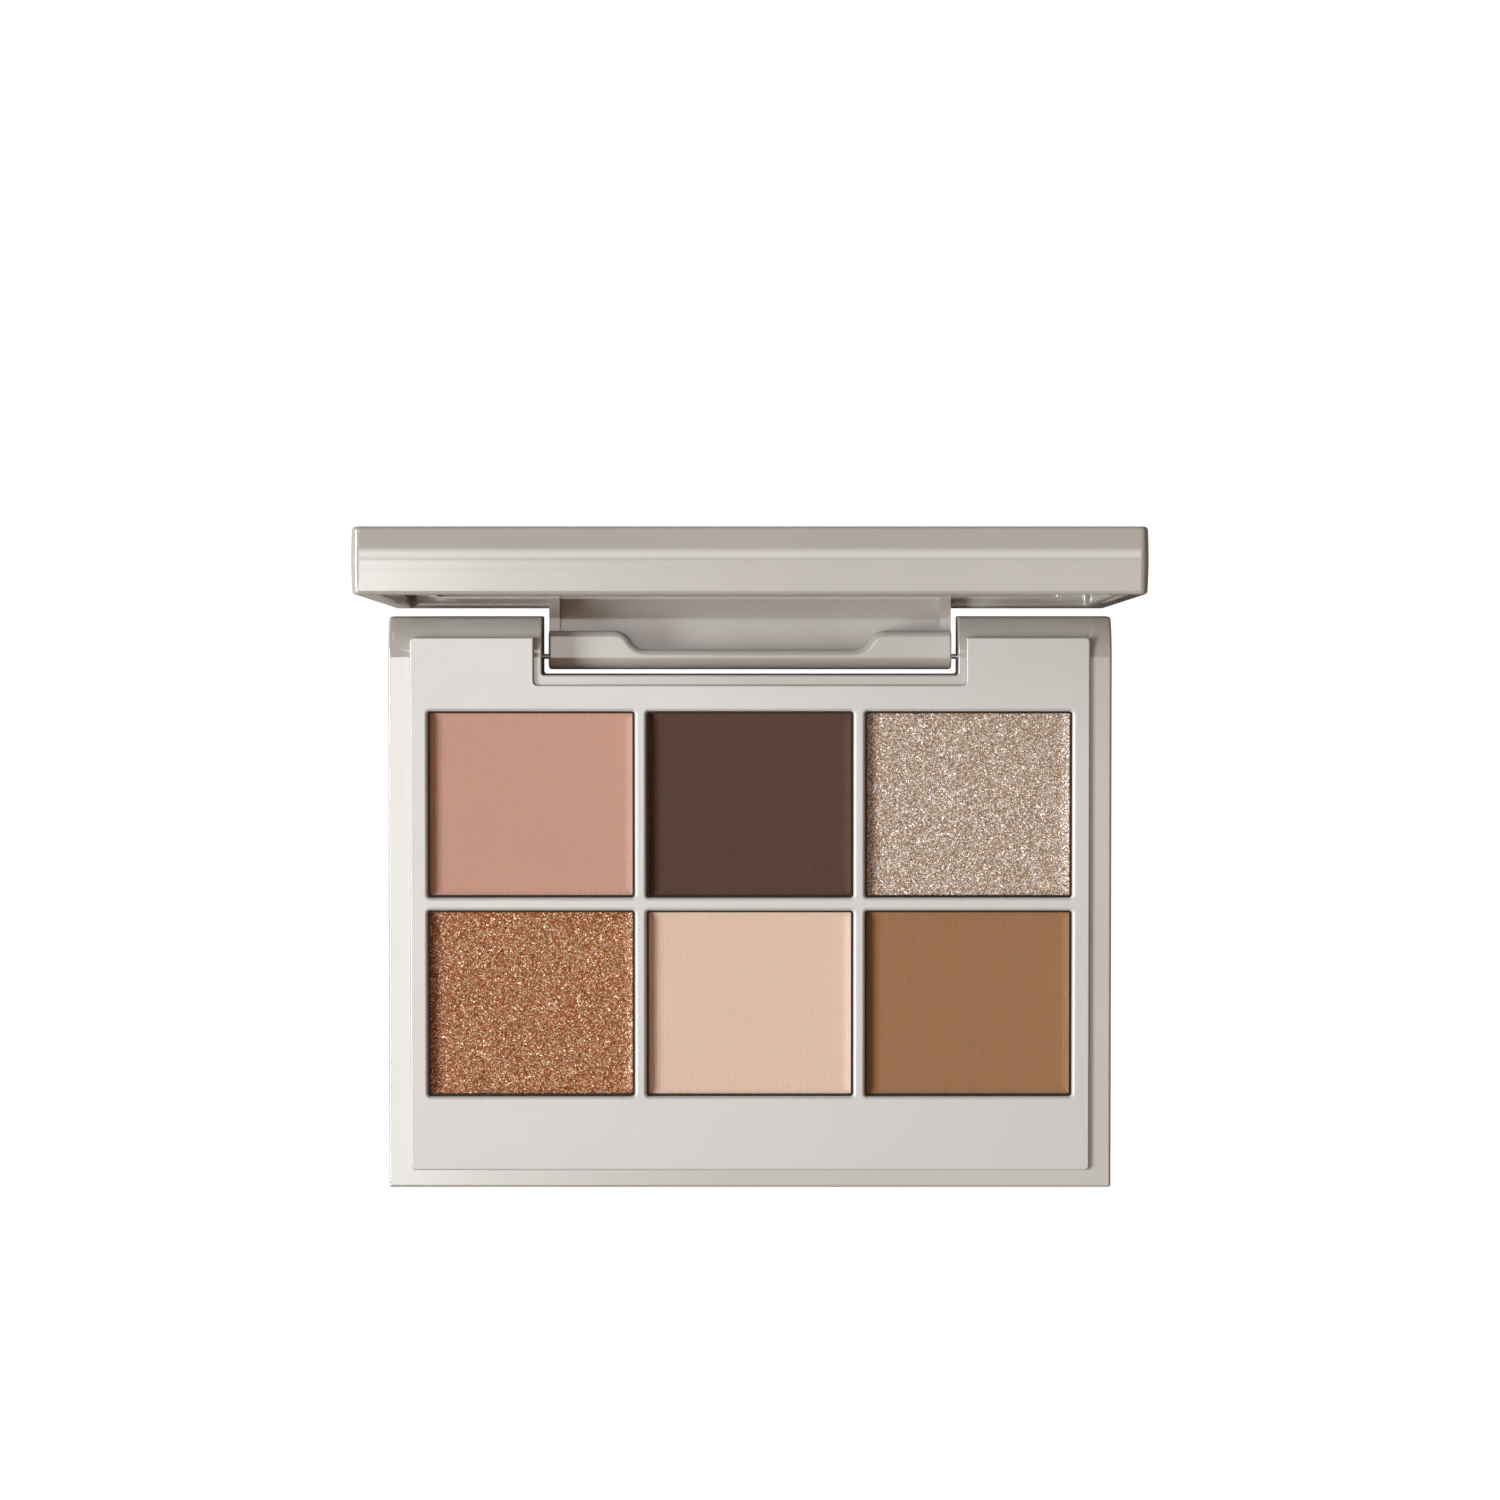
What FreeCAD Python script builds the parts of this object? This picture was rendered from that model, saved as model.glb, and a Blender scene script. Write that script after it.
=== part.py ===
"""Six-pan eyeshadow palette: a pressed-powder compact with a mirror lid on a knuckle hinge.

Millimetres, +Z up, X to the right, Y to the back. The origin is the centre of the base's
underside. The lid's pieces are modelled closed over the base and turned open about the hinge.
"""
import FreeCAD
import Part
import math
import os

from FreeCAD import Vector

# Case, closed
CASE_WIDTH = 86.0
CASE_DEPTH = 68.0
BASE_HEIGHT = 8.6
PARTING_GAP = 0.05
LID_HEIGHT = 7.35
EDGE_R = 0.3
BASE_BACK_EDGE_R = 1.2
NOTCH_EDGE_R = 0.2

# Hinge: the axis runs along X, near the back of the base
HINGE_INSET = 4.8
HINGE_Z = 2.8
OPEN_ANGLE = 91.8
PIN_R = 0.3
PIN_SEAT_CLEARANCE = 0.01
PIN_RUN_CLEARANCE = 0.05
PIN_IN_BASE = 6.2
PIN_IN_KNUCKLE = 5.8
PIN_HOLE_SPARE = 0.3
PIN_CHAMFER = 0.075
EAR_WALL = 1.5

# Knuckle of the lid, in the notch of the base
NOTCH_WIDTH = 49.5
NOTCH_WALL_Y = 27.1
NOTCH_CORNER_R = 0.3
NOTCH_WALL_THICKNESS = 2.4
KNUCKLE_WIDTH = 48.2
KNUCKLE_BARREL_R = 1.5
KNUCKLE_FRONT = 1.7
KNUCKLE_TOP = 3.07
KNUCKLE_TOP_R = 0.8
KNUCKLE_END_R = 0.3
RAIL_TOP = 0.85
RAIL_HALF_WIDTH = 12.4
BOSS_INNER_X = 16.2
POCKET_WALL = 1.3
CHEEK_THICKNESS = 1.25
CHEEK_FRONT = 0.6

# Pan deck, which stands a little proud of the base's rim
DECK_HALF_WIDTH = 40.4
DECK_FRONT_Y = -31.9
DECK_BACK_Y = 31.55
DECK_PROUD = 0.5
DECK_FLANGE = 1.5
DECK_CORNER_R = 0.5
DECK_EDGE_R = 0.2
DECK_FIT = 0.04
DECK_NOTCH_WIDTH = 51.4
DECK_NOTCH_Y = 25.9
LEDGE_WIDTH = 1.1
WELL_WALL = 0.95
WELL_FLOOR = 1.2
TRAY_FLOOR = 1.5
RIB_THICKNESS = 1.2

# Pans, two rows of three
PAN_COLUMNS = 3
PAN_PITCH_X = 26.0
PAN_ROWS_Y = (11.7, -12.0)
WINDOW_WIDTH = 24.6
WINDOW_DEPTH = 22.15
WINDOW_CORNER_R = 0.35
WINDOW_LIP_R = 0.4
PAN_FIT = 0.08
PAN_WALL = 0.15
PAN_FLOOR = 0.2
PAN_HEIGHT = 3.6
PAN_RIM_BELOW_DECK = 0.65
POWDER_BELOW_DECK = 0.95
POWDER_DISH = 0.25
POWDER_DISH_WIDTH = 0.95
POWDER_LIP = 0.1
GLUE_THICKNESS = 0.15
GLUE_WIDTH = 18.0
GLUE_DEPTH = 16.0
SHADES_BY_ROW = (("rose", "espresso", "champagne"), ("copper", "cream", "caramel"))

# Lid
LID_CROWN_RIM = 0.12
LID_CROWN_TOP = 0.08
LID_CROWN_HEIGHT = 0.6
LID_CORNER_R = 0.85
LID_EDGE_R = 0.45
LID_RIM_INNER_R = 0.5
LID_OPENING_HALF_WIDTH = 40.65
LID_OPENING_FRONT_Y = -32.1
LID_OPENING_BACK_Y = 31.8
LID_OPENING_CORNER_R = 0.7
LID_TOP = 1.5
LID_LEDGE = 1.4
FRAME_FIT = 0.1
FRAME_RECESS = 1.25
FRAME_THICKNESS = 2.8
FRAME_EDGE_R = 0.2
MIRROR_WIDTH = 74.0
MIRROR_FRONT_Y = -23.8
MIRROR_BACK_Y = 26.2
MIRROR_CORNER_R = 0.8
MIRROR_THICKNESS = 1.2
MIRROR_BELOW_FRAME = 0.3
MIRROR_FIT = 0.1
MIRROR_BEVEL = 0.25
MIRROR_GLUE_INSET = 2.0

# Closing magnets, under the front band of the deck and of the mirror frame
MAGNET_R = 2.5
MAGNET_HEIGHT = 1.5
MAGNET_X = 20.0
MAGNET_Y = -27.3
MAGNET_SKIN = 0.8
MAGNET_FIT = 0.05
MAGNET_BOSS_WALL = 0.9
MAGNET_HOLE_SPARE = 0.3

# Worked out from the sizes above
HALF_WIDTH = CASE_WIDTH / 2
HALF_DEPTH = CASE_DEPTH / 2
HINGE_Y = HALF_DEPTH - HINGE_INSET
HINGE_POINT = Vector(0, HINGE_Y, HINGE_Z)
X_AXIS = Vector(1, 0, 0)
LID_RIM_Z = BASE_HEIGHT + PARTING_GAP
LID_TOP_Z = LID_RIM_Z + LID_HEIGHT
DECK_TOP_Z = BASE_HEIGHT + DECK_PROUD
LEDGE_Z = DECK_TOP_Z - DECK_FLANGE
PAN_RIM_Z = DECK_TOP_Z - PAN_RIM_BELOW_DECK
PAN_BOTTOM_Z = PAN_RIM_Z - PAN_HEIGHT
GLUE_BOTTOM_Z = PAN_BOTTOM_Z - GLUE_THICKNESS
DECK_BOTTOM_Z = GLUE_BOTTOM_Z - WELL_FLOOR
PAN_WIDTH = WINDOW_WIDTH - 2 * PAN_FIT
PAN_DEPTH = WINDOW_DEPTH - 2 * PAN_FIT
POWDER_WIDTH = PAN_WIDTH - 2 * PAN_WALL
POWDER_DEPTH = PAN_DEPTH - 2 * PAN_WALL
POWDER_TOP_Z = DECK_TOP_Z - POWDER_BELOW_DECK
POWDER_BOTTOM_Z = PAN_BOTTOM_Z + PAN_FLOOR
POWDER_CORNER_R = WINDOW_CORNER_R - PAN_WALL
FRAME_FACE_Z = LID_RIM_Z + FRAME_RECESS
FRAME_BACK_Z = FRAME_FACE_Z + FRAME_THICKNESS
MIRROR_FACE_Z = FRAME_FACE_Z + MIRROR_BELOW_FRAME
MIRROR_BACK_Z = MIRROR_FACE_Z + MIRROR_THICKNESS
MIRROR_SEAT_Z = MIRROR_BACK_Z + GLUE_THICKNESS
HINGE_BLOCK_Y = HINGE_Y + CHEEK_FRONT

# Modelling aids: how far a cutting tool reaches past a face, how deep joined pieces overlap before
# they are fused, and the limits used to pick out edges
OVERCUT = 1.0
OVERLAP = 0.5
FAR = 100.0
TOLERANCE = 0.001
VERTICAL_MIN_HEIGHT = 0.5
VERTICAL_MAX_SPREAD = 0.3


def box(x0, x1, y0, y1, z0, z1):
    return Part.makeBox(x1 - x0, y1 - y0, z1 - z0, Vector(x0, y0, z0))


def centred_box(width, depth, x, y, z0, z1):
    return box(x - width / 2, x + width / 2, y - depth / 2, y + depth / 2, z0, z1)


def cylinder_z(radius, x, y, z0, z1):
    return Part.makeCylinder(radius, z1 - z0, Vector(x, y, z0))


def cylinder_x(radius, x0, x1):
    """A cylinder on the hinge axis, from x0 to x1."""
    return Part.makeCylinder(radius, x1 - x0, Vector(x0, HINGE_Y, HINGE_Z), X_AXIS)


def fillet(shape, radius, chosen):
    """Round the edges for which chosen(edge) is true."""
    return shape.makeFillet(radius, [edge for edge in shape.Edges if chosen(edge)])


def is_vertical(edge):
    b = edge.BoundBox
    return b.ZLength > VERTICAL_MIN_HEIGHT and max(b.XLength, b.YLength) < VERTICAL_MAX_SPREAD


def lies_at_z(z):
    """A test for edges that lie flat at height z."""
    def test(edge):
        b = edge.BoundBox
        return abs(b.ZMin - z) < TOLERANCE and abs(b.ZMax - z) < TOLERANCE

    return test


def rounded_box(x0, x1, y0, y1, z0, z1, radius):
    """A box with its four vertical edges rounded."""
    return fillet(box(x0, x1, y0, y1, z0, z1), radius, is_vertical)


def mirrored(shape):
    """The same shape on the other side of the plane X = 0."""
    return shape.mirror(Vector(0, 0, 0), X_AXIS)


def pan_centres():
    """Shade name and centre of each pan."""
    for row_y, shades in zip(PAN_ROWS_Y, SHADES_BY_ROW):
        for column, shade in enumerate(shades):
            yield shade, (column - (PAN_COLUMNS - 1) / 2) * PAN_PITCH_X, row_y


# ---------------------------------------------------------------- base


def tray_block():
    """The base's outer block. Its top turns down at the back in an arc about the hinge axis.

    The lid's rim is a flat plane that sweeps past this arc, so the arc stays just inside it.
    """
    radius = BASE_HEIGHT - HINGE_Z
    end_angle = math.acos(HINGE_INSET / radius)
    middle_angle = (math.pi / 2 + end_angle) / 2

    def on_arc(angle):
        y = HINGE_Y + radius * math.cos(angle)
        z = HINGE_Z + radius * math.sin(angle)
        return Vector(-HALF_WIDTH, y, z)

    front_bottom = Vector(-HALF_WIDTH, -HALF_DEPTH, 0)
    front_top = Vector(-HALF_WIDTH, -HALF_DEPTH, BASE_HEIGHT)
    back_bottom = Vector(-HALF_WIDTH, HALF_DEPTH, 0)
    arc_start = on_arc(math.pi / 2)
    arc_end = on_arc(end_angle)
    profile = [
        Part.makeLine(front_bottom, front_top),
        Part.makeLine(front_top, arc_start),
        Part.Arc(arc_start, on_arc(middle_angle), arc_end).toShape(),
        Part.makeLine(arc_end, back_bottom),
        Part.makeLine(back_bottom, front_bottom),
    ]
    block = Part.Face(Part.Wire(profile)).extrude(Vector(CASE_WIDTH, 0, 0))

    def back_edge(edge):
        b = edge.BoundBox
        return b.YMin > HALF_DEPTH - TOLERANCE and abs(b.ZMin - arc_end.z) < TOLERANCE

    block = fillet(block, BASE_BACK_EDGE_R, back_edge)

    def outline(edge):
        b = edge.BoundBox
        on_side = b.XLength < TOLERANCE
        front = b.YMax < -HALF_DEPTH + TOLERANCE
        lower_back = b.YMin > HALF_DEPTH - TOLERANCE and b.ZMax < TOLERANCE
        return on_side or front or lower_back

    return fillet(block, EDGE_R, outline)


def notched_block():
    """The block with the notch for the knuckle, its upper edges eased."""
    half = NOTCH_WIDTH / 2
    notch = rounded_box(-half, half, NOTCH_WALL_Y, HALF_DEPTH + OVERCUT, -OVERCUT, BASE_HEIGHT + OVERCUT,
                        NOTCH_CORNER_R)
    block = tray_block().cut(notch)

    def notch_edge(edge):
        b = edge.BoundBox
        on_notch = max(-b.XMin, b.XMax) < half + TOLERANCE and b.YMin > NOTCH_WALL_Y - TOLERANCE
        inner_corner = is_vertical(edge) and b.YMax < NOTCH_WALL_Y + NOTCH_CORNER_R + TOLERANCE
        return on_notch and b.ZMax > TOLERANCE and not inner_corner

    return fillet(block, NOTCH_EDGE_R, notch_edge)


def tray_ribs():
    """Ribs that stand on the tray's floor and carry the deck's wells."""
    length = 2 * (DECK_HALF_WIDTH - LEDGE_WIDTH)
    front = DECK_FRONT_Y + LEDGE_WIDTH
    back = NOTCH_WALL_Y - NOTCH_WALL_THICKNESS
    half = RIB_THICKNESS / 2
    ribs = []
    for y in PAN_ROWS_Y:
        ribs.append(centred_box(length, RIB_THICKNESS, 0, y, TRAY_FLOOR, DECK_BOTTOM_Z))
    for x in (-PAN_PITCH_X, 0, PAN_PITCH_X):
        ribs.append(box(x - half, x + half, front, back, TRAY_FLOOR, DECK_BOTTOM_Z))
    return ribs


def base_tray():
    """The lower case: a seat for the deck, a hollow below it and an ear for each hinge pin."""
    tray = notched_block()
    tray = tray.cut(deck_outline(DECK_FIT, LEDGE_Z, BASE_HEIGHT + OVERCUT))
    inner_x = DECK_HALF_WIDTH - LEDGE_WIDTH
    hole_end = NOTCH_WIDTH / 2 + PIN_IN_BASE + PIN_HOLE_SPARE
    ear_x = hole_end + EAR_WALL
    hollow_top = LEDGE_Z + OVERCUT
    cavity_back = NOTCH_WALL_Y - NOTCH_WALL_THICKNESS
    cavity = box(-inner_x, inner_x, DECK_FRONT_Y + LEDGE_WIDTH, cavity_back, TRAY_FLOOR, hollow_top)
    pocket = box(ear_x, inner_x, 0, DECK_BACK_Y - LEDGE_WIDTH, TRAY_FLOOR, hollow_top)
    cavity = cavity.fuse([pocket, mirrored(pocket)]).removeSplitter()
    tray = tray.cut(cavity)
    tray = tray.fuse(tray_ribs())
    tray = tray.cut(cylinder_x(PIN_R + PIN_SEAT_CLEARANCE, -hole_end, hole_end))
    return tray.removeSplitter()


def deck_outline(margin, z0, z1):
    """The deck's outline, larger by margin all round, with its notch round the knuckle."""
    plate = rounded_box(-DECK_HALF_WIDTH - margin, DECK_HALF_WIDTH + margin, DECK_FRONT_Y - margin,
                        DECK_BACK_Y + margin, z0, z1, DECK_CORNER_R)
    half_notch = DECK_NOTCH_WIDTH / 2 - margin
    notch = rounded_box(-half_notch, half_notch, DECK_NOTCH_Y + margin, HALF_DEPTH, z0 - OVERCUT,
                        z1 + OVERCUT, DECK_CORNER_R)
    return plate.cut(notch)


def pan_deck():
    """The insert that holds the pans: a flange, six windows with wells, and two magnet bosses."""
    deck = deck_outline(0, LEDGE_Z, DECK_TOP_Z)
    deck = fillet(deck, DECK_EDGE_R, lies_at_z(DECK_TOP_Z))
    well_x = (PAN_COLUMNS - 1) / 2 * PAN_PITCH_X + WINDOW_WIDTH / 2 + WELL_WALL
    well_front = PAN_ROWS_Y[1] - WINDOW_DEPTH / 2 - WELL_WALL
    well_back = PAN_ROWS_Y[0] + WINDOW_DEPTH / 2 + WELL_WALL
    joined_z = LEDGE_Z + OVERLAP
    deck = deck.fuse(box(-well_x, well_x, well_front, well_back, DECK_BOTTOM_Z, joined_z))
    boss_r = MAGNET_R + MAGNET_BOSS_WALL
    hole_r = MAGNET_R + MAGNET_FIT
    magnet_top = DECK_TOP_Z - MAGNET_SKIN
    boss_bottom = magnet_top - MAGNET_HEIGHT - MAGNET_HOLE_SPARE
    for x in (-MAGNET_X, MAGNET_X):
        deck = deck.fuse(cylinder_z(boss_r, x, MAGNET_Y, boss_bottom, joined_z))
    deck = deck.removeSplitter()
    for x in (-MAGNET_X, MAGNET_X):
        deck = deck.cut(cylinder_z(hole_r, x, MAGNET_Y, boss_bottom - OVERCUT, magnet_top))
    for _, x, y in pan_centres():
        window = centred_box(WINDOW_WIDTH, WINDOW_DEPTH, x, y, GLUE_BOTTOM_Z, DECK_TOP_Z + OVERCUT)
        deck = deck.cut(fillet(window, WINDOW_CORNER_R, is_vertical))

    def window_edge(edge):
        b = edge.BoundBox
        inside = b.XMin > -well_x and b.XMax < well_x and b.YMin > well_front and b.YMax < well_back
        return lies_at_z(DECK_TOP_Z)(edge) and inside

    return fillet(deck, WINDOW_LIP_R, window_edge)


def pan(x, y):
    """A pressed tin pan: thin walls and floor, open at the top."""
    outer = centred_box(PAN_WIDTH, PAN_DEPTH, x, y, PAN_BOTTOM_Z, PAN_RIM_Z)
    outer = fillet(outer, WINDOW_CORNER_R, is_vertical)
    inner = centred_box(POWDER_WIDTH, POWDER_DEPTH, x, y, POWDER_BOTTOM_Z, PAN_RIM_Z + OVERCUT)
    return outer.cut(fillet(inner, POWDER_CORNER_R, is_vertical))


def rectangle(width, depth, x, y, z):
    """A closed rectangular wire at height z, centred on (x, y)."""
    signs = ((-1, -1), (1, -1), (1, 1), (-1, 1))
    corners = [Vector(x + sx * width / 2, y + sy * depth / 2, z) for sx, sy in signs]
    return Part.makePolygon(corners + corners[:1])


def powder(x, y):
    """Pressed powder with a dished face: flat in the middle, rising to a lip at the edges."""
    cake = centred_box(POWDER_WIDTH, POWDER_DEPTH, x, y, POWDER_BOTTOM_Z, POWDER_TOP_Z)
    cake = fillet(cake, POWDER_CORNER_R, is_vertical)
    levels = ((POWDER_LIP, POWDER_TOP_Z), (POWDER_LIP + POWDER_DISH_WIDTH, POWDER_TOP_Z - POWDER_DISH))
    wires = [rectangle(POWDER_WIDTH - 2 * inset, POWDER_DEPTH - 2 * inset, x, y, z) for inset, z in levels]
    return cake.cut(Part.makeLoft(wires, True, True))


def pan_glue(x, y):
    return centred_box(GLUE_WIDTH, GLUE_DEPTH, x, y, GLUE_BOTTOM_Z, PAN_BOTTOM_Z)


def base_magnet(x):
    top = DECK_TOP_Z - MAGNET_SKIN
    return cylinder_z(MAGNET_R, x, MAGNET_Y, top - MAGNET_HEIGHT, top)


def hinge_pin():
    """The right-hand pin: pressed into the base's ear, running in the knuckle."""
    start = KNUCKLE_WIDTH / 2 - PIN_IN_KNUCKLE
    end = NOTCH_WIDTH / 2 + PIN_IN_BASE
    pin = cylinder_x(PIN_R, start, end)
    return pin.makeChamfer(PIN_CHAMFER, [edge for edge in pin.Edges if edge.BoundBox.XLength < TOLERANCE])


# ---------------------------------------------------------------- lid, closed


def crowned_side(half_size, z0, z1):
    """Half-size and height of the three points of a crowned side, from the rim up."""
    middle = z0 + LID_CROWN_HEIGHT * (z1 - z0)
    return ((half_size - LID_CROWN_RIM, z0), (half_size, middle), (half_size - LID_CROWN_TOP, z1))


def lid_block():
    """The lid's outer block: crowned front and sides, a flat back to stand on."""
    front = [Vector(-FAR, -y, z) for y, z in crowned_side(HALF_DEPTH, LID_RIM_Z, LID_TOP_Z)]
    back_top = Vector(-FAR, HALF_DEPTH, LID_TOP_Z)
    back_rim = Vector(-FAR, HALF_DEPTH, LID_RIM_Z)
    side_view = [
        Part.Arc(*front).toShape(),
        Part.makeLine(front[2], back_top),
        Part.makeLine(back_top, back_rim),
        Part.makeLine(back_rim, front[0]),
    ]
    along_x = Part.Face(Part.Wire(side_view)).extrude(Vector(2 * FAR, 0, 0))

    right = [Vector(x, -FAR, z) for x, z in crowned_side(HALF_WIDTH, LID_RIM_Z, LID_TOP_Z)]
    left = [Vector(-p.x, p.y, p.z) for p in right]
    front_view = [
        Part.Arc(*right).toShape(),
        Part.makeLine(right[2], left[2]),
        Part.Arc(left[2], left[1], left[0]).toShape(),
        Part.makeLine(left[0], right[0]),
    ]
    along_y = Part.Face(Part.Wire(front_view)).extrude(Vector(0, 2 * FAR, 0))

    block = along_x.common(along_y)
    block = fillet(block, LID_CORNER_R, is_vertical)

    def top_or_rim(edge):
        return lies_at_z(LID_TOP_Z)(edge) or lies_at_z(LID_RIM_Z)(edge)

    return fillet(block, LID_EDGE_R, top_or_rim)


def boss_outline():
    """The knuckle's outline from the front: two bosses and a low rail, joined by S-curves."""
    half = KNUCKLE_WIDTH / 2
    bottom = HINGE_Z - KNUCKLE_BARREL_R
    top = HINGE_Z + KNUCKLE_TOP
    rail = HINGE_Z + RAIL_TOP
    run = BOSS_INNER_X - RAIL_HALF_WIDTH
    rise = top - rail
    x_mid = (RAIL_HALF_WIDTH + BOSS_INNER_X) / 2
    z_mid = (rail + top) / 2
    # Two equal arcs, tangent to the rail and to the boss's top, meet in the middle of the S.
    radius = (run * run + rise * rise) / (4 * rise)
    half_turn = math.atan2(rise, run)
    step_x = radius * math.sin(half_turn)
    step_z = radius * (1 - math.cos(half_turn))
    low = Vector(RAIL_HALF_WIDTH + step_x, 0, rail + step_z)
    high = Vector(BOSS_INNER_X - step_x, 0, top - step_z)
    middle = Vector(x_mid, 0, z_mid)
    rail_end = Vector(RAIL_HALF_WIDTH, 0, rail)
    boss_start = Vector(BOSS_INNER_X, 0, top)

    def other(point):
        return Vector(-point.x, point.y, point.z)

    corner_top = Vector(half, 0, top)
    corner_bottom = Vector(half, 0, bottom)
    edges = [
        Part.makeLine(other(rail_end), rail_end),
        Part.Arc(rail_end, low, middle).toShape(),
        Part.Arc(middle, high, boss_start).toShape(),
        Part.makeLine(boss_start, corner_top),
        Part.makeLine(corner_top, corner_bottom),
        Part.makeLine(corner_bottom, other(corner_bottom)),
        Part.makeLine(other(corner_bottom), other(corner_top)),
        Part.makeLine(other(corner_top), other(boss_start)),
        Part.Arc(other(boss_start), other(high), other(middle)).toShape(),
        Part.Arc(other(middle), other(low), other(rail_end)).toShape(),
    ]
    return Part.Face(Part.Wire(edges))


def knuckle():
    """The barrel and bosses that turn on the pins, and the wall that joins them to the lid."""
    front_y = HINGE_Y - KNUCKLE_FRONT
    half = KNUCKLE_WIDTH / 2
    bottom = HINGE_Z - KNUCKLE_BARREL_R
    bosses = boss_outline()
    bosses.translate(Vector(0, front_y, 0))
    bosses = bosses.extrude(Vector(0, HALF_DEPTH - front_y, 0))

    def front_face(edge):
        return edge.BoundBox.YMax < front_y + TOLERANCE

    def front_bottom(edge):
        return front_face(edge) and edge.BoundBox.ZMax < bottom + TOLERANCE

    def front_top(edge):
        return front_face(edge) and edge.BoundBox.ZMin > HINGE_Z

    def end_face(edge):
        return edge.BoundBox.XLength < TOLERANCE and edge.BoundBox.YMin < HALF_DEPTH - TOLERANCE

    bosses = fillet(bosses, KNUCKLE_BARREL_R, front_bottom)
    bosses = fillet(bosses, KNUCKLE_TOP_R, front_top)
    bosses = fillet(bosses, KNUCKLE_END_R, end_face)
    joined_z = LID_RIM_Z + OVERLAP
    wall = box(-half, half, HALF_DEPTH - POCKET_WALL, HALF_DEPTH, bottom, joined_z)
    cheek_bottom = HINGE_Z + KNUCKLE_TOP - OVERLAP
    cheek = box(half - CHEEK_THICKNESS, half, HINGE_BLOCK_Y, HALF_DEPTH, cheek_bottom, joined_z)
    return bosses.fuse([wall, cheek, mirrored(cheek)]).removeSplitter()


def lid_tray():
    """The outer shell without its hinge: an opening for the mirror frame and a ledge behind it."""
    half = LID_OPENING_HALF_WIDTH
    front = LID_OPENING_FRONT_Y
    back = LID_OPENING_BACK_Y
    opening = rounded_box(-half, half, front, back, LID_RIM_Z - OVERCUT, FRAME_BACK_Z, LID_OPENING_CORNER_R)
    tray = lid_block().cut(opening)

    def opening_edge(edge):
        b = edge.BoundBox
        inside_x = max(-b.XMin, b.XMax) < half + TOLERANCE
        inside_y = b.YMin > front - TOLERANCE and b.YMax < back + TOLERANCE
        return lies_at_z(LID_RIM_Z)(edge) and inside_x and inside_y

    tray = fillet(tray, LID_RIM_INNER_R, opening_edge)
    inner = half - LID_LEDGE
    hollow = rounded_box(-inner, inner, front + LID_LEDGE, HINGE_BLOCK_Y - LID_LEDGE,
                         FRAME_BACK_Z - OVERCUT, LID_TOP_Z - LID_TOP, LID_OPENING_CORNER_R)
    return tray.cut(hollow)


def lid_shell():
    """The lid's outer shell with its knuckle and the pocket behind the bosses."""
    half = KNUCKLE_WIDTH / 2
    pocket_back = HALF_DEPTH - POCKET_WALL
    hinge_block = box(-half, half, HINGE_BLOCK_Y, pocket_back, LID_RIM_Z, LID_TOP_Z - LID_TOP)
    shell = lid_tray().fuse([hinge_block, knuckle()])
    pocket_half = half - CHEEK_THICKNESS
    pocket_front = HINGE_Y - KNUCKLE_FRONT - OVERCUT
    pocket = box(-pocket_half, pocket_half, pocket_front, pocket_back, HINGE_Z + KNUCKLE_TOP, FRAME_FACE_Z)
    shell = shell.cut(pocket)
    hole_start = half - PIN_IN_KNUCKLE - PIN_HOLE_SPARE
    hole = cylinder_x(PIN_R + PIN_RUN_CLEARANCE, hole_start, half + OVERCUT)
    return shell.cut([hole, mirrored(hole)]).removeSplitter()


def mirror_frame():
    """The inner frame: a flat bezel with a seat for the mirror and blind holes for the magnets."""
    half = LID_OPENING_HALF_WIDTH - FRAME_FIT
    frame = rounded_box(-half, half, LID_OPENING_FRONT_Y + FRAME_FIT, LID_OPENING_BACK_Y - FRAME_FIT,
                        FRAME_FACE_Z, FRAME_BACK_Z, LID_OPENING_CORNER_R)
    half_notch = KNUCKLE_WIDTH / 2 + FRAME_FIT
    frame = frame.cut(box(-half_notch, half_notch, HINGE_BLOCK_Y - FRAME_FIT, HALF_DEPTH, 0, FAR))
    frame = fillet(frame, FRAME_EDGE_R, lies_at_z(FRAME_FACE_Z))
    seat_half = MIRROR_WIDTH / 2 + MIRROR_FIT
    seat = rounded_box(-seat_half, seat_half, MIRROR_FRONT_Y - MIRROR_FIT, MIRROR_BACK_Y + MIRROR_FIT,
                       FRAME_FACE_Z - OVERCUT, MIRROR_SEAT_Z, MIRROR_CORNER_R)
    frame = frame.cut(seat)
    hole_r = MAGNET_R + MAGNET_FIT
    hole_bottom = FRAME_FACE_Z + MAGNET_SKIN
    for x in (-MAGNET_X, MAGNET_X):
        frame = frame.cut(cylinder_z(hole_r, x, MAGNET_Y, hole_bottom, FRAME_BACK_Z + OVERCUT))
    return frame


def mirror():
    """The glass, with a narrow bevel round its face."""
    half = MIRROR_WIDTH / 2
    plate = rounded_box(-half, half, MIRROR_FRONT_Y, MIRROR_BACK_Y, MIRROR_FACE_Z, MIRROR_BACK_Z,
                        MIRROR_CORNER_R)
    return plate.makeChamfer(MIRROR_BEVEL, [edge for edge in plate.Edges if lies_at_z(MIRROR_FACE_Z)(edge)])


def mirror_glue():
    half = MIRROR_WIDTH / 2 - MIRROR_GLUE_INSET
    front = MIRROR_FRONT_Y + MIRROR_GLUE_INSET
    back = MIRROR_BACK_Y - MIRROR_GLUE_INSET
    return box(-half, half, front, back, MIRROR_BACK_Z, MIRROR_SEAT_Z)


def lid_magnet(x):
    bottom = FRAME_FACE_Z + MAGNET_SKIN
    return cylinder_z(MAGNET_R, x, MAGNET_Y, bottom, bottom + MAGNET_HEIGHT)


# ---------------------------------------------------------------- assembly


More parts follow.
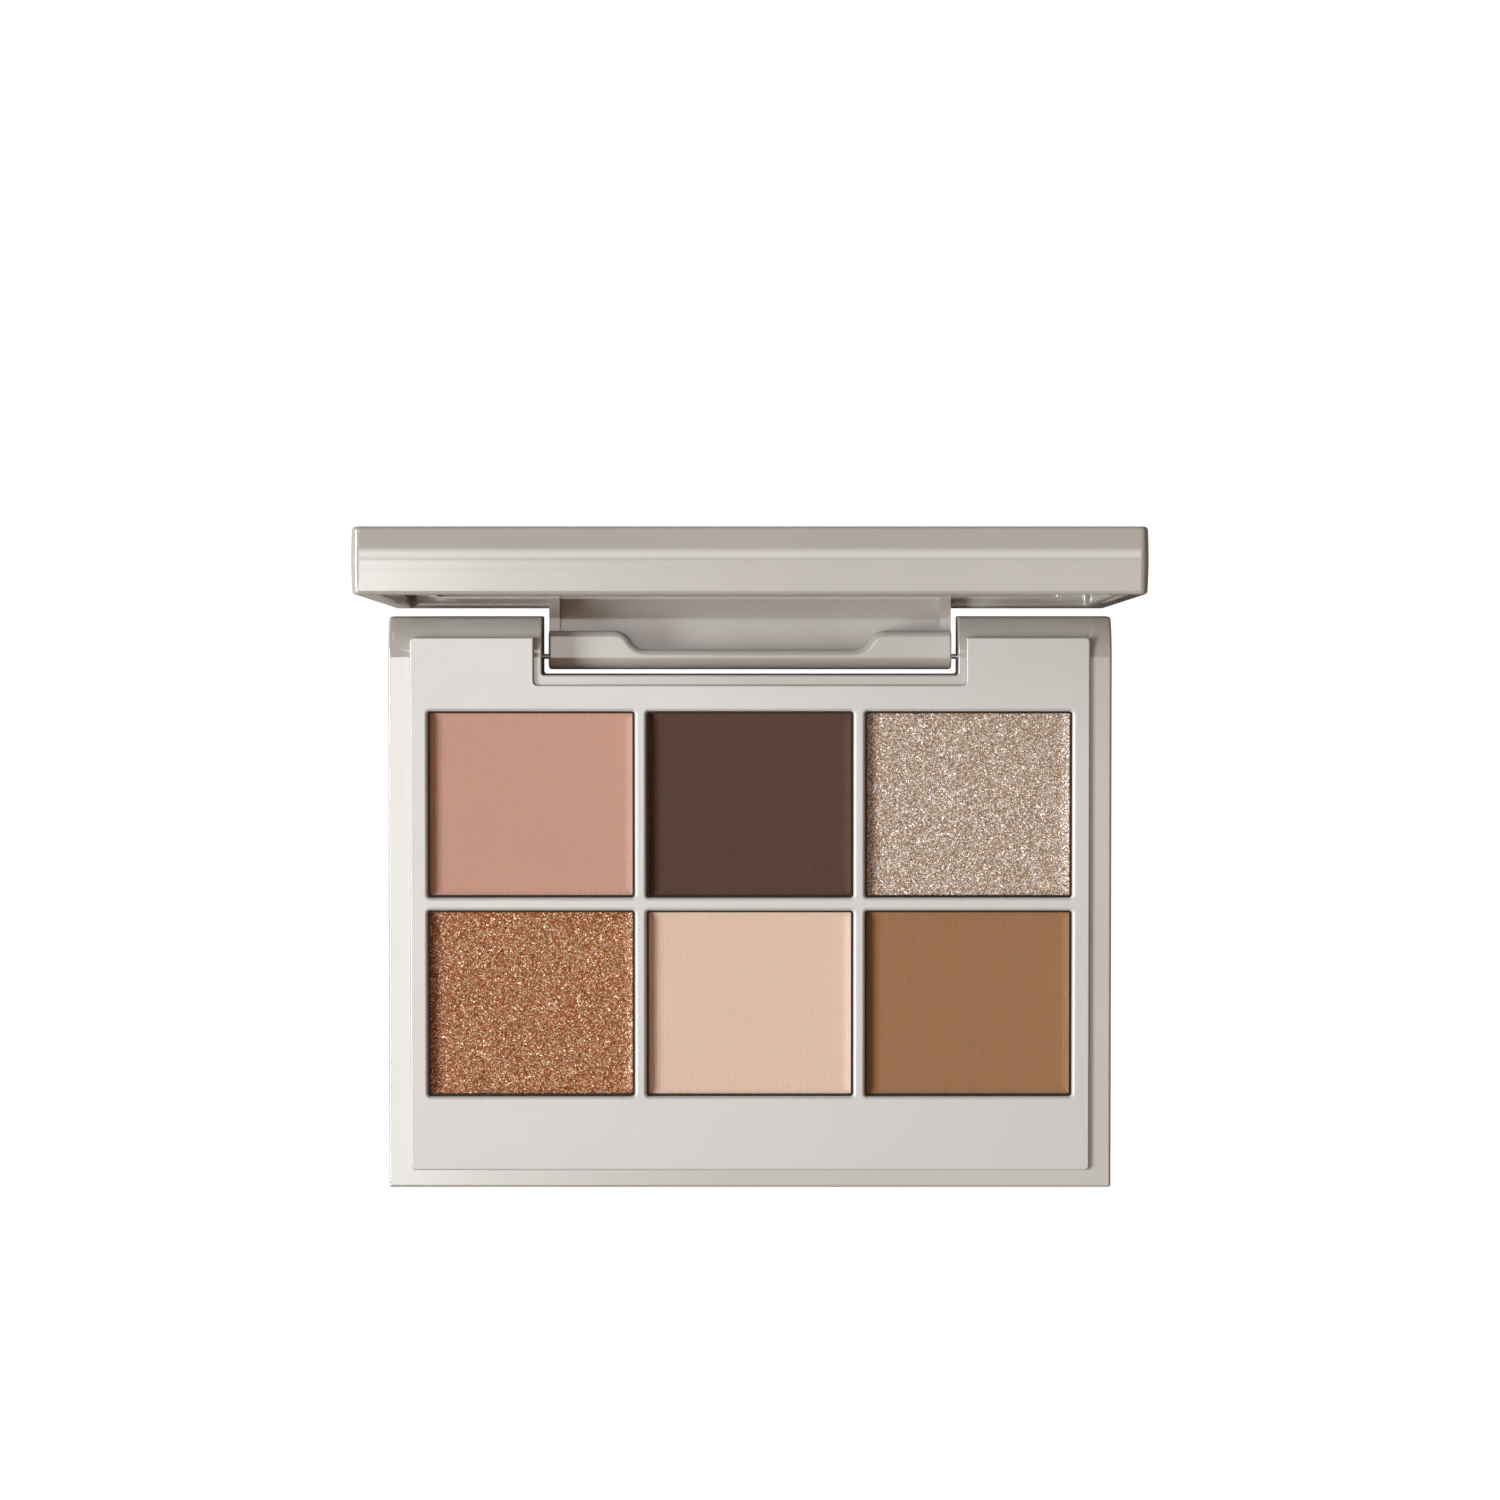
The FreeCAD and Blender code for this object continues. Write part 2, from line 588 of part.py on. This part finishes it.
def base_parts():
    parts = {"base_tray": base_tray(), "pan_deck": pan_deck()}
    for shade, x, y in pan_centres():
        parts["pan_" + shade] = pan(x, y)
        parts["powder_" + shade] = powder(x, y)
        parts["pan_adhesive_" + shade] = pan_glue(x, y)
    parts["base_magnet_left"] = base_magnet(-MAGNET_X)
    parts["base_magnet_right"] = base_magnet(MAGNET_X)
    parts["hinge_pin_left"] = mirrored(hinge_pin())
    parts["hinge_pin_right"] = hinge_pin()
    return parts


def lid_parts():
    return {
        "lid_shell": lid_shell(),
        "mirror_frame": mirror_frame(),
        "mirror": mirror(),
        "mirror_adhesive": mirror_glue(),
        "lid_magnet_left": lid_magnet(-MAGNET_X),
        "lid_magnet_right": lid_magnet(MAGNET_X),
    }


def opened(shape):
    """Turn a piece of the closed lid open about the hinge axis."""
    return shape.rotated(HINGE_POINT, X_AXIS, -OPEN_ANGLE)


def main():
    os.makedirs("parts", exist_ok=True)
    parts = base_parts()
    for name, shape in lid_parts().items():
        parts[name] = opened(shape)
    for name, shape in parts.items():
        solid = shape.Solids[0]
        if len(shape.Solids) != 1 or not solid.isValid():
            raise RuntimeError(name + " is not one valid solid")
        solid.exportStep("parts/" + name + ".step")
        print(name, round(solid.Volume, 2))


main()
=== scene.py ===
import math

import bpy
from mathutils import Matrix, Vector, noise

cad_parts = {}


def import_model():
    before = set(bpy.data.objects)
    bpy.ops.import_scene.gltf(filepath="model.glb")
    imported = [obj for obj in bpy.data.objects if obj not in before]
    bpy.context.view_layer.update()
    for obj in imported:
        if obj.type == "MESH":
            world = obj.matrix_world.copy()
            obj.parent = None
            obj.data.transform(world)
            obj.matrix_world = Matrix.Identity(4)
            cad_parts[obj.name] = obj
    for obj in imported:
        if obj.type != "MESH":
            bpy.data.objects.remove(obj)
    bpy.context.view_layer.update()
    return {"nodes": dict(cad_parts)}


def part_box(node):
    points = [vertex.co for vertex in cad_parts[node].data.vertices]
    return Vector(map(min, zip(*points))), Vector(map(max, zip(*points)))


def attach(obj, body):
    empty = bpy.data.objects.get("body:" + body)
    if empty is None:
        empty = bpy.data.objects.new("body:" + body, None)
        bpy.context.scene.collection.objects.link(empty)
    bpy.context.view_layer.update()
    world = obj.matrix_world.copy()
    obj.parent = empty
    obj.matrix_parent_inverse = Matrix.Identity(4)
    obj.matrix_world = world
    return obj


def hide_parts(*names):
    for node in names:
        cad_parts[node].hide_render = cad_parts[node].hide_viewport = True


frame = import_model()

MM = 0.001
SHADES = ("rose", "espresso", "champagne", "copper", "cream", "caramel")
GLITTER = ("champagne", "copper")
WHITE = (1.0, 1.0, 1.0, 1.0)

# Camera, above the open lid and looking down on the palette
CAMERA_AT = (0.0, 40.7 * MM, 622.8 * MM)
CAMERA_TILT = math.radians(-2.1)
LENS = 124.08
SENSOR = 36.0
CLIP_START = 0.01
CLIP_END = 20.0

# Floor: a plane through the base's lower front edge, passing just under the open lid's lowest edge
FLOOR_FRONT = Vector((0.0, -34.0 * MM, 0.0))
FLOOR_BACK = Vector((0.0, 42.0 * MM, -2.46 * MM))
FLOOR_HALF_SIZE = 4.0
FLOOR_WHITE_LEVEL = 1.05
FLOOR_MATT_COLOUR = (0.34, 0.30, 0.26, 1.0)
WHITE_DROP = 0.02 * MM
MATT_DROP = 0.04 * MM

# Lights: places and sizes in metres. A light's power in watts is its strength times its area times pi
KEY_AT = (-4.3, -0.3, 3.4)
KEY_SIZE = (3.4, 2.0)
KEY_STRENGTH = 19.2
KEY_COLOUR = (0.905, 0.97, 1.0)
OVERHEAD_X = -0.125
OVERHEAD_Y = -0.045
OVERHEAD_SIZE = (0.65, 0.39)
FILL_HEIGHT = 1.2
FILL_STRENGTH = 3.5
FILL_COLOUR = (1.0, 0.64, 0.48)
GLOSS_HEIGHT = 1.19
GLOSS_STRENGTH = 5.2
WORLD_COLOUR = (1.0, 0.8, 0.64, 1.0)
WORLD_LEVEL = 0.09


# ---------------------------------------------------------------- node helpers


def srgb(code):
    """Linear RGBA from a hex code."""
    channels = [int(code[i:i + 2], 16) / 255 for i in (0, 2, 4)]
    return [c / 12.92 if c <= 0.04045 else ((c + 0.055) / 1.055) ** 2.4 for c in channels] + [1.0]


class Nodes:
    """A small builder for a node tree."""

    def __init__(self, tree):
        self.tree = tree
        tree.nodes.clear()

    def add(self, kind, inputs=None, **settings):
        node = self.tree.nodes.new(kind)
        for name, value in settings.items():
            setattr(node, name, value)
        for name, value in (inputs or {}).items():
            self.put(node.inputs[name], value)
        return node

    def put(self, socket, value):
        if isinstance(value, bpy.types.NodeSocket):
            self.tree.links.new(value, socket)
        else:
            socket.default_value = value

    def math(self, operation, a, b=0.0, c=0.0):
        node = self.add("ShaderNodeMath", operation=operation)
        for socket, value in zip(node.inputs, (a, b, c)):
            self.put(socket, value)
        return node.outputs[0]

    def vector_math(self, operation, inputs):
        return self.add("ShaderNodeVectorMath", inputs, operation=operation).outputs[0]

    def ramp(self, value, stops):
        """A colour ramp. Each stop is a place and a colour, or a place and a grey level."""
        node = self.add("ShaderNodeValToRGB", {"Fac": value})
        elements = node.color_ramp.elements
        while len(elements) < len(stops):
            elements.new(0.5)
        for element, (place, colour) in zip(elements, stops):
            element.position = place
            element.color = colour if hasattr(colour, "__len__") else (colour, colour, colour, 1.0)
        return node.outputs["Color"]

    def mix(self, factor, a, b, blend="MIX"):
        node = self.add("ShaderNodeMix", data_type="RGBA", blend_type=blend)
        self.put(node.inputs["Factor"], factor)
        self.put(node.inputs["A"], a)
        self.put(node.inputs["B"], b)
        return node.outputs["Result"]

    def place(self, scale=(1.0, 1.0, 1.0)):
        """Object coordinates, which are the row frame's metres, stretched by scale."""
        coordinates = self.add("ShaderNodeTexCoord")
        settings = {"Vector": coordinates.outputs["Object"], "Scale": scale}
        return self.add("ShaderNodeMapping", settings).outputs["Vector"]

    def noise(self, vector, scale, detail=2.0, roughness=0.5):
        """Noise with scale cells to the metre."""
        settings = {"Vector": vector, "Scale": scale, "Detail": detail, "Roughness": roughness}
        return self.add("ShaderNodeTexNoise", settings).outputs["Fac"]

    def bump(self, height, distance):
        return self.add("ShaderNodeBump", {"Height": height, "Distance": distance}).outputs["Normal"]

    def principled(self, inputs):
        """The material's surface, with the given inputs."""
        shader = self.add("ShaderNodeBsdfPrincipled", inputs)
        self.surface(shader.outputs[0])

    def surface(self, shader):
        output = self.add("ShaderNodeOutputMaterial")
        self.tree.links.new(shader, output.inputs["Surface"])


def material(name):
    made = bpy.data.materials.new(name)
    made.use_nodes = True
    return made, Nodes(made.node_tree)


# ---------------------------------------------------------------- materials

# Noise scales are in cells to the metre. The two levels are the noise at which a tint reaches its ends
TINT_LOW = 0.3
TINT_HIGH = 0.7
CLOUD_SCALE = 90.0
SMEAR_SCALE = 240.0
METAL_GRAIN = 6000.0
METAL_GRAIN_HEIGHT = 0.004 * MM
HAZE_SCALE = 60.0
HAZE_LEAST = 0.005
HAZE_ADDS = 0.02
GLUE_SCALE = 900.0
GLUE_BUMP = 0.03 * MM

# Shares of a finish's roughness: the least, and the most that a smear or a drawn line adds
SMEAR_LEAST = 0.85
SMEAR_ADDS = 0.3
LINE_LEAST = 0.7
LINE_ADDS = 0.6

# Casing and frame: long, very low waves in the gloss. Deck: a fine satin grain
WAVE_SCALE = 140.0
WAVE_HEIGHT = 0.0015 * MM
SATIN_SCALE = 5200.0
SATIN_HEIGHT = 0.003 * MM

# Press cloth: ribs along Y, fainter ones across, and how far the ribs wander
RIB_PITCH = 0.26 * MM
CROSS_PITCH = 0.21 * MM
CROSS_SHARE = 0.35
RIB_WANDER = 0.10 * MM
WANDER_SCALE = 700.0

# Matte powder. Clouds change its tone at random, the ribs' grooves are painted darker and their ridges
# lighter as painted shade, and its dust stands out from the ribs in the bump
DUST_SCALE = 5200.0
DUST_HEIGHT = 1.6
POWDER_CLOUD_SCALE = 130.0
CLOUD_LEAST = 0.97
CLOUD_ADDS = 0.06
RIB_PAINTED_SHADE = 0.012
POWDER_BUMP = 0.009 * MM
POWDER_BLEED = 0.4 * MM
POWDER_BLEED_BY_CHANNEL = (1.0, 0.35, 0.22)

# Glitter powder: two sizes of flake. The radius is a share of a cell
FLAKE_SCALES = (5000.0, 7400.0)
FLAKE_RADIUS = 0.5
FLAKE_TILT = 0.8
GRAIN_SCALE = 4200.0


def plastic(name, colour, roughness, grain, grain_height, tone=0.02, ior=1.5):
    """Moulded plastic: a faint cloudiness in the tone, a smeared gloss and a bump of the given grain."""
    made, n = material(name)
    where = n.place()
    low = [c * (1 - tone) for c in colour[:3]] + [1.0]
    high = [c * (1 + tone) for c in colour[:3]] + [1.0]
    tint = n.ramp(n.noise(where, CLOUD_SCALE, 3.0), ((TINT_LOW, low), (TINT_HIGH, high)))
    smear = n.noise(where, SMEAR_SCALE, 4.0)
    n.principled({
        "Base Color": tint,
        "Roughness": n.math("MULTIPLY_ADD", smear, roughness * SMEAR_ADDS, roughness * SMEAR_LEAST),
        "IOR": ior,
        "Normal": n.bump(n.noise(where, grain), grain_height),
    })
    return made


def metal(name, colour, roughness, brushed=(1.0, 1.0, 1.0)):
    """Metal with fine drawn or pressed lines."""
    made, n = material(name)
    lines = n.noise(n.place(brushed), METAL_GRAIN, 3.0)
    n.principled({
        "Base Color": colour,
        "Metallic": 1.0,
        "Roughness": n.math("MULTIPLY_ADD", lines, roughness * LINE_ADDS, roughness * LINE_LEAST),
        "Normal": n.bump(lines, METAL_GRAIN_HEIGHT),
    })
    return made


def mirror_glass():
    """Silvered glass with a faint haze."""
    made, n = material("mirror_glass")
    haze = n.noise(n.place(), HAZE_SCALE, 4.0)
    n.principled({
        "Base Color": srgb("E8EBEC"),
        "Metallic": 1.0,
        "Roughness": n.math("MULTIPLY_ADD", haze, HAZE_ADDS, HAZE_LEAST),
    })
    return made


def glue():
    """Dried glue, slightly lumpy."""
    made, n = material("glue")
    fine = n.noise(n.place(), GLUE_SCALE, 4.0)
    n.principled({
        "Base Color": n.ramp(fine, ((TINT_LOW, srgb("DCD6C8")), (TINT_HIGH, srgb("ECE8DE")))),
        "Roughness": 0.55,
        "Normal": n.bump(fine, GLUE_BUMP),
    })
    return made


def ribs(n, where):
    """The press cloth's mark: fine ribs along Y with fainter ones across."""
    split = n.add("ShaderNodeSeparateXYZ", {"Vector": where})
    wander = n.noise(where, WANDER_SCALE, 3.0)
    shifted = n.math("MULTIPLY_ADD", wander, RIB_WANDER, split.outputs["X"])
    along = n.math("SINE", n.math("MULTIPLY", shifted, 2 * math.pi / RIB_PITCH))
    across = n.math("SINE", n.math("MULTIPLY", split.outputs["Y"], 2 * math.pi / CROSS_PITCH))
    return n.math("MULTIPLY_ADD", across, CROSS_SHARE, along)


def matte_powder(name, colour, darker, lighter):
    """Pressed matte powder: dusty, with the ribbed mark of the press cloth."""
    made, n = material(name)
    where = n.place()
    pattern = ribs(n, where)
    dust = n.noise(where, DUST_SCALE, 3.0, 0.7)
    cloud = n.noise(where, POWDER_CLOUD_SCALE, 3.0)
    tint = n.ramp(dust, ((0.25, darker), (0.5, colour), (0.8, lighter)))
    shade = n.math("MULTIPLY_ADD", cloud, CLOUD_ADDS, CLOUD_LEAST)
    # Painted shade of the ribs: darker in their grooves, lighter on their ridges
    shade = n.math("MULTIPLY_ADD", pattern, RIB_PAINTED_SHADE, shade)
    grey = n.add("ShaderNodeCombineColor", {"Red": shade, "Green": shade, "Blue": shade}).outputs[0]
    height = n.math("MULTIPLY_ADD", dust, DUST_HEIGHT, pattern)
    n.principled({
        "Base Color": n.mix(1.0, tint, grey, "MULTIPLY"),
        "Roughness": 0.85,
        "IOR": 1.12,
        "Normal": n.bump(height, POWDER_BUMP),
        "Subsurface Weight": 0.6,
        "Subsurface Radius": POWDER_BLEED_BY_CHANNEL,
        "Subsurface Scale": POWDER_BLEED,
    })
    return made


def glitter_powder(name, base, dark, flake_dim, flake_bright, share):
    """Pressed glitter: pale flakes of two sizes in a darker powder, their tones reaching near white,
    partly the flakes' own pale colour and partly a painted glint.

    The tones of both sizes are averaged, and the tilt is that of the larger flakes.
    """
    made, n = material(name)
    where = n.place()
    cells = [n.add("ShaderNodeTexVoronoi", {"Vector": where, "Scale": scale}) for scale in FLAKE_SCALES]
    masks, tones = [], []
    for cell in cells:
        pick = n.add("ShaderNodeSeparateColor", {"Color": cell.outputs["Color"]})
        chosen = n.math("GREATER_THAN", pick.outputs["Red"], 1 - share)
        inside = n.math("LESS_THAN", cell.outputs["Distance"], FLAKE_RADIUS)
        masks.append(n.math("MULTIPLY", chosen, inside))
        tones.append(n.math("MULTIPLY", pick.outputs["Green"], 0.5))
    flake = n.math("MAXIMUM", masks[0], masks[1])
    tone = n.math("ADD", tones[0], tones[1])
    powder = n.ramp(n.noise(where, GRAIN_SCALE, 3.0, 0.7), ((0.35, dark), (0.62, base)))
    # Each flake's tone, up to near white: partly the flakes' pale colour, partly a painted glint
    flake_tone_and_glint = n.ramp(tone, ((0.3, flake_dim), (0.6, flake_bright)))
    tilt = n.vector_math("SUBTRACT", {0: cells[0].outputs["Color"], 1: (0.5, 0.5, 0.5)})
    tilt = n.vector_math("SCALE", {0: tilt, "Scale": FLAKE_TILT})
    geometry = n.add("ShaderNodeNewGeometry")
    leaning = n.vector_math("ADD", {0: geometry.outputs["Normal"], 1: tilt})
    n.principled({
        "Base Color": n.mix(flake, powder, flake_tone_and_glint),
        "Metallic": n.math("MULTIPLY", flake, 0.2),
        "Roughness": 0.4,
        "Normal": n.vector_math("NORMALIZE", {0: leaning}),
    })
    return made


casing = plastic("casing_plastic", srgb("B5B1AA"), 0.035, WAVE_SCALE, WAVE_HEIGHT, ior=1.8)
deck = plastic("deck_plastic", srgb("C4C2BF"), 0.30, SATIN_SCALE, SATIN_HEIGHT, tone=0.01, ior=1.75)
frame_plastic = plastic("frame_plastic", srgb("A69E92"), 0.04, WAVE_SCALE, WAVE_HEIGHT, ior=1.8)
# The pans' tin is painted a dark brown: painted shade for the deep, narrow gap round each cake
tin_painted_shade_dark = metal("tin_painted_shade_dark", srgb("3C352E"), 0.45, (1.0, 1.0, 0.2))
nickel = metal("nickel", srgb("B4B4B4"), 0.22)
steel = metal("steel", srgb("B9B7B4"), 0.25, (0.1, 1.0, 1.0))
adhesive = glue()
mirror = mirror_glass()

# Shade: its colour, and how dark and how light its dust gets
MATTE_COLOURS = {
    "rose": ("C99F8E", "C49988", "D0A89A"),
    "espresso": ("5F483E", "594339", "664F45"),
    "cream": ("E0C5B3", "DCBFAC", "E6CFC0"),
    "caramel": ("A07959", "9A7252", "A78160"),
}
# Shade: the powder and its dark grains, the dimmest and brightest flakes, and the share of flakes. The
# brightest tones are near white, partly a painted glint
GLITTER_COLOURS = {
    "champagne": ("A2866A", "866A4E", "D8C6B6", "FFF8F4", 0.45),
    "copper": ("A05628", "7A3C15", "CC9660", "FBE3BA", 0.3),
}

powders = {}
for shade, codes in MATTE_COLOURS.items():
    powders[shade] = matte_powder(shade + "_powder", *[srgb(code) for code in codes])
for shade, (*codes, share) in GLITTER_COLOURS.items():
    powders[shade] = glitter_powder(shade + "_powder", *[srgb(code) for code in codes], share)

NODE_MATERIALS = {
    "base_tray": casing,
    "pan_deck": deck,
    "lid_shell": casing,
    "mirror_frame": frame_plastic,
    "mirror": mirror,
    "mirror_adhesive": adhesive,
}
for side in ("left", "right"):
    NODE_MATERIALS["base_magnet_" + side] = nickel
    NODE_MATERIALS["lid_magnet_" + side] = nickel
    NODE_MATERIALS["hinge_pin_" + side] = steel
for shade in SHADES:
    NODE_MATERIALS["pan_" + shade] = tin_painted_shade_dark
    NODE_MATERIALS["pan_adhesive_" + shade] = adhesive

for node, finish in NODE_MATERIALS.items():
    for material_slot in frame["nodes"][node].material_slots:
        material_slot.link = "OBJECT"
        material_slot.material = finish


# ---------------------------------------------------------------- powder cakes

DISH_DEPTH = 0.25 * MM
DISH_WIDTH = 1.0 * MM
DISH_POWER = 1.7
CORNER_RISE = 0.12
LIP = 0.05 * MM
EDGE_DROP = 0.05 * MM
ON_EDGE = 1e-9
CAKE_COLUMNS = 150
CAKE_ROWS = 136
EVEN_SHARE = 0.45

# Unevenness of the face: its height, its waves to the metre, and the width over which it fades
MATTE_RUFFLE = 0.006 * MM
MATTE_RUFFLE_SCALE = 900.0
GLITTER_RUFFLE = 0.035 * MM
GLITTER_RUFFLE_SCALE = 4200.0
RUFFLE_FADE = 0.3 * MM
RUFFLE_STEP = (3.7, 1.9, 0.0)


def dish_rise(distance):
    """How far the face has risen towards the rim, 0 in the flat middle and 1 at the lip."""
    t = 1 - min(max((distance - LIP) / DISH_WIDTH, 0.0), 1.0)
    return t ** DISH_POWER


def graded(low, high, count):
    """Places from low to high, closer together near both ends."""
    places = []
    for i in range(count + 1):
        even = i / count
        eased = 0.5 - 0.5 * math.cos(math.pi * even)
        places.append(low + (high - low) * (EVEN_SHARE * even + (1 - EVEN_SHARE) * eased))
    return places


def cake_face(low, high, columns, rows, glitter, offset):
    """The vertices of a cake's dished face, row by row from the front."""
    ruffle_height = GLITTER_RUFFLE if glitter else MATTE_RUFFLE
    ruffle_scale = GLITTER_RUFFLE_SCALE if glitter else MATTE_RUFFLE_SCALE
    vertices = []
    for y in rows:
        for x in columns:
            edge_x = min(x - low.x, high.x - x)
            edge_y = min(y - low.y, high.y - y)
            edge = min(edge_x, edge_y)
            a, b = dish_rise(edge_x), dish_rise(edge_y)
            rise = max(a, b) + CORNER_RISE * min(a, b)
            z = high.z - DISH_DEPTH * (1 - min(rise, 1.0))
            ruffle = noise.noise(Vector((x, y, 0.0)) * ruffle_scale + offset) * ruffle_height
            z += ruffle * min(1.0, edge / RUFFLE_FADE) - ruffle_height * 0.5
            z = min(z, high.z)
            if edge < ON_EDGE:
                z -= EDGE_DROP
            vertices.append((x, y, z))
    return vertices


def grid_outline(wide, deep):
    """The numbers of a grid's outer vertices, once round from the front left corner."""
    front = list(range(wide))
    right = [j * wide + wide - 1 for j in range(1, deep)]
    back = [(deep - 1) * wide + i for i in range(wide - 2, -1, -1)]
    left = [j * wide for j in range(deep - 2, 0, -1)]
    return front + right + back + left


def powder_cake(shade, seed):
    """A closed cake whose dished face rises to a lip along its edges."""
    low, high = [Vector(corner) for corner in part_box("powder_" + shade)]
    columns = graded(low.x, high.x, CAKE_COLUMNS)
    rows = graded(low.y, high.y, CAKE_ROWS)
    offset = Vector([step * seed for step in RUFFLE_STEP])
    vertices = cake_face(low, high, columns, rows, shade in GLITTER, offset)
    wide, deep = len(columns), len(rows)
    faces = []
    for j in range(deep - 1):
        for i in range(wide - 1):
            corner = j * wide + i
            faces.append((corner, corner + 1, corner + wide + 1, corner + wide))
    top_faces = len(faces)
    outline = grid_outline(wide, deep)
    start = len(vertices)
    vertices += [(vertices[k][0], vertices[k][1], low.z) for k in outline]
    count = len(outline)
    for k in range(count):
        following = (k + 1) % count
        faces.append((outline[following], outline[k], start + k, start + following))
    faces.append(tuple(start + k for k in range(count - 1, -1, -1)))
    mesh = bpy.data.meshes.new("cake_" + shade)
    mesh.from_pydata(vertices, [], faces)
    mesh.update()
    mesh.polygons.foreach_set("use_smooth", [i < top_faces for i in range(len(faces))])
    mesh.materials.append(powders[shade])
    cake = bpy.data.objects.new("cake_" + shade, mesh)
    bpy.context.scene.collection.objects.link(cake)
    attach(cake, "base")
    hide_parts("powder_" + shade)


for number, shade in enumerate(SHADES):
    powder_cake(shade, number + 1)


# ---------------------------------------------------------------- floor


def flat_sheet(name, shader_kind, settings, drop):
    """A large sheet, set below the plane that the palette rests on by drop."""
    lean = FLOOR_BACK - FLOOR_FRONT
    tilt = math.atan2(lean.z, lean.y)
    mesh = bpy.data.meshes.new(name)
    size = FLOOR_HALF_SIZE
    corners = [(-size, -size, 0), (size, -size, 0), (size, size, 0), (-size, size, 0)]
    mesh.from_pydata(corners, [], [(0, 1, 2, 3)])
    made, n = material(name)
    n.surface(n.add(shader_kind, settings).outputs[0])
    mesh.materials.append(made)
    sheet = bpy.data.objects.new(name, mesh)
    bpy.context.scene.collection.objects.link(sheet)
    at = FLOOR_FRONT - Vector((0, 0, drop))
    sheet.matrix_world = Matrix.Translation(at) @ Matrix.Rotation(tilt, 4, "X")
    return sheet


def floor():
    """A plain white floor that only the camera sees, and a pale brown matt one that light bounces off."""
    glow = {"Color": WHITE, "Strength": FLOOR_WHITE_LEVEL}
    white = flat_sheet("floor_white", "ShaderNodeEmission", glow, WHITE_DROP)
    white.visible_diffuse = False
    white.visible_glossy = False
    white.visible_transmission = False
    white.visible_shadow = False
    matt = flat_sheet("floor_matt", "ShaderNodeBsdfDiffuse", {"Color": FLOOR_MATT_COLOUR}, MATT_DROP)
    matt.visible_camera = False


# ---------------------------------------------------------------- light


def area_light(name, at, target, size, strength, colour=(1.0, 1.0, 1.0), shape=None):
    """A soft rectangular light. shape(nodes, u, v) gives its brightness across its face."""
    width, height = size
    data = bpy.data.lights.new(name, "AREA")
    data.shape = "RECTANGLE"
    data.size = width
    data.size_y = height
    data.energy = strength * width * height * math.pi
    data.color = colour
    light = bpy.data.objects.new(name, data)
    bpy.context.scene.collection.objects.link(light)
    direction = Vector(target) - Vector(at)
    light.location = at
    light.rotation_euler = direction.to_track_quat("-Z", "Y").to_euler()
    if shape is not None:
        data.use_nodes = True
        n = Nodes(data.node_tree)
        geometry = n.add("ShaderNodeNewGeometry")
        split = n.add("ShaderNodeSeparateXYZ", {"Vector": geometry.outputs["Parametric"]})
        level = shape(n, split.outputs["X"], split.outputs["Y"])
        glow = n.add("ShaderNodeEmission", {"Color": WHITE, "Strength": level})
        output = n.add("ShaderNodeOutputLight")
        n.tree.links.new(glow.outputs[0], output.inputs["Surface"])
    return light


def overhead_shape(n, u, v):
    """Brightest on the left and fading to the right, with a narrow separate strip along the back."""
    left = ((0.0, 0.95), (0.1, 1.0), (0.5, 1.0), (0.563, 0.6), (0.625, 0.42))
    right = ((0.692, 0.29), (0.82, 0.28), (0.885, 0.26), (1.0, 0.2))
    across = n.ramp(u, left + right)
    front = ((0.0, 0.9), (0.1, 1.0), (0.758, 1.0), (0.777, 0.85), (0.795, 1.0), (0.856, 1.0))
    back = ((0.873, 0.4), (0.942, 0.4), (1.0, 0.0))
    deep = n.ramp(v, front + back)
    strip = n.ramp(v, ((0.879, 0.0), (0.896, 0.42), (0.936, 0.42), (0.994, 0.0)))
    return n.math("MULTIPLY_ADD", across, deep, strip)


def lights():
    """A key from the left, a warm fill that makes no reflections, and a light seen only in reflections."""
    area_light("key", KEY_AT, (0.0, 0.0, 0.0), KEY_SIZE, KEY_STRENGTH, KEY_COLOUR)
    below = (OVERHEAD_X, OVERHEAD_Y, 0.0)
    fill_at = (OVERHEAD_X, OVERHEAD_Y, FILL_HEIGHT)
    gloss_at = (OVERHEAD_X, OVERHEAD_Y, GLOSS_HEIGHT)
    fill = area_light("fill", fill_at, below, OVERHEAD_SIZE, FILL_STRENGTH, FILL_COLOUR)
    fill.visible_glossy = False
    gloss = area_light("gloss", gloss_at, below, OVERHEAD_SIZE, GLOSS_STRENGTH, shape=overhead_shape)
    gloss.visible_diffuse = False


def world():
    made = bpy.data.worlds.new("studio")
    made.use_nodes = True
    n = Nodes(made.node_tree)
    back = n.add("ShaderNodeBackground", {"Color": WORLD_COLOUR, "Strength": WORLD_LEVEL})
    output = n.add("ShaderNodeOutputWorld")
    n.tree.links.new(back.outputs[0], output.inputs["Surface"])
    bpy.context.scene.world = made


# ---------------------------------------------------------------- camera


def add_camera():
    lens = bpy.data.cameras.new("camera")
    lens.lens = LENS
    lens.sensor_width = SENSOR
    lens.clip_start = CLIP_START
    lens.clip_end = CLIP_END
    camera = bpy.data.objects.new("camera", lens)
    bpy.context.scene.collection.objects.link(camera)
    camera.location = CAMERA_AT
    camera.rotation_euler = (CAMERA_TILT, 0.0, 0.0)
    bpy.context.scene.camera = camera


floor()
world()
lights()
bpy.context.scene.view_settings.view_transform = "Standard"
add_camera()
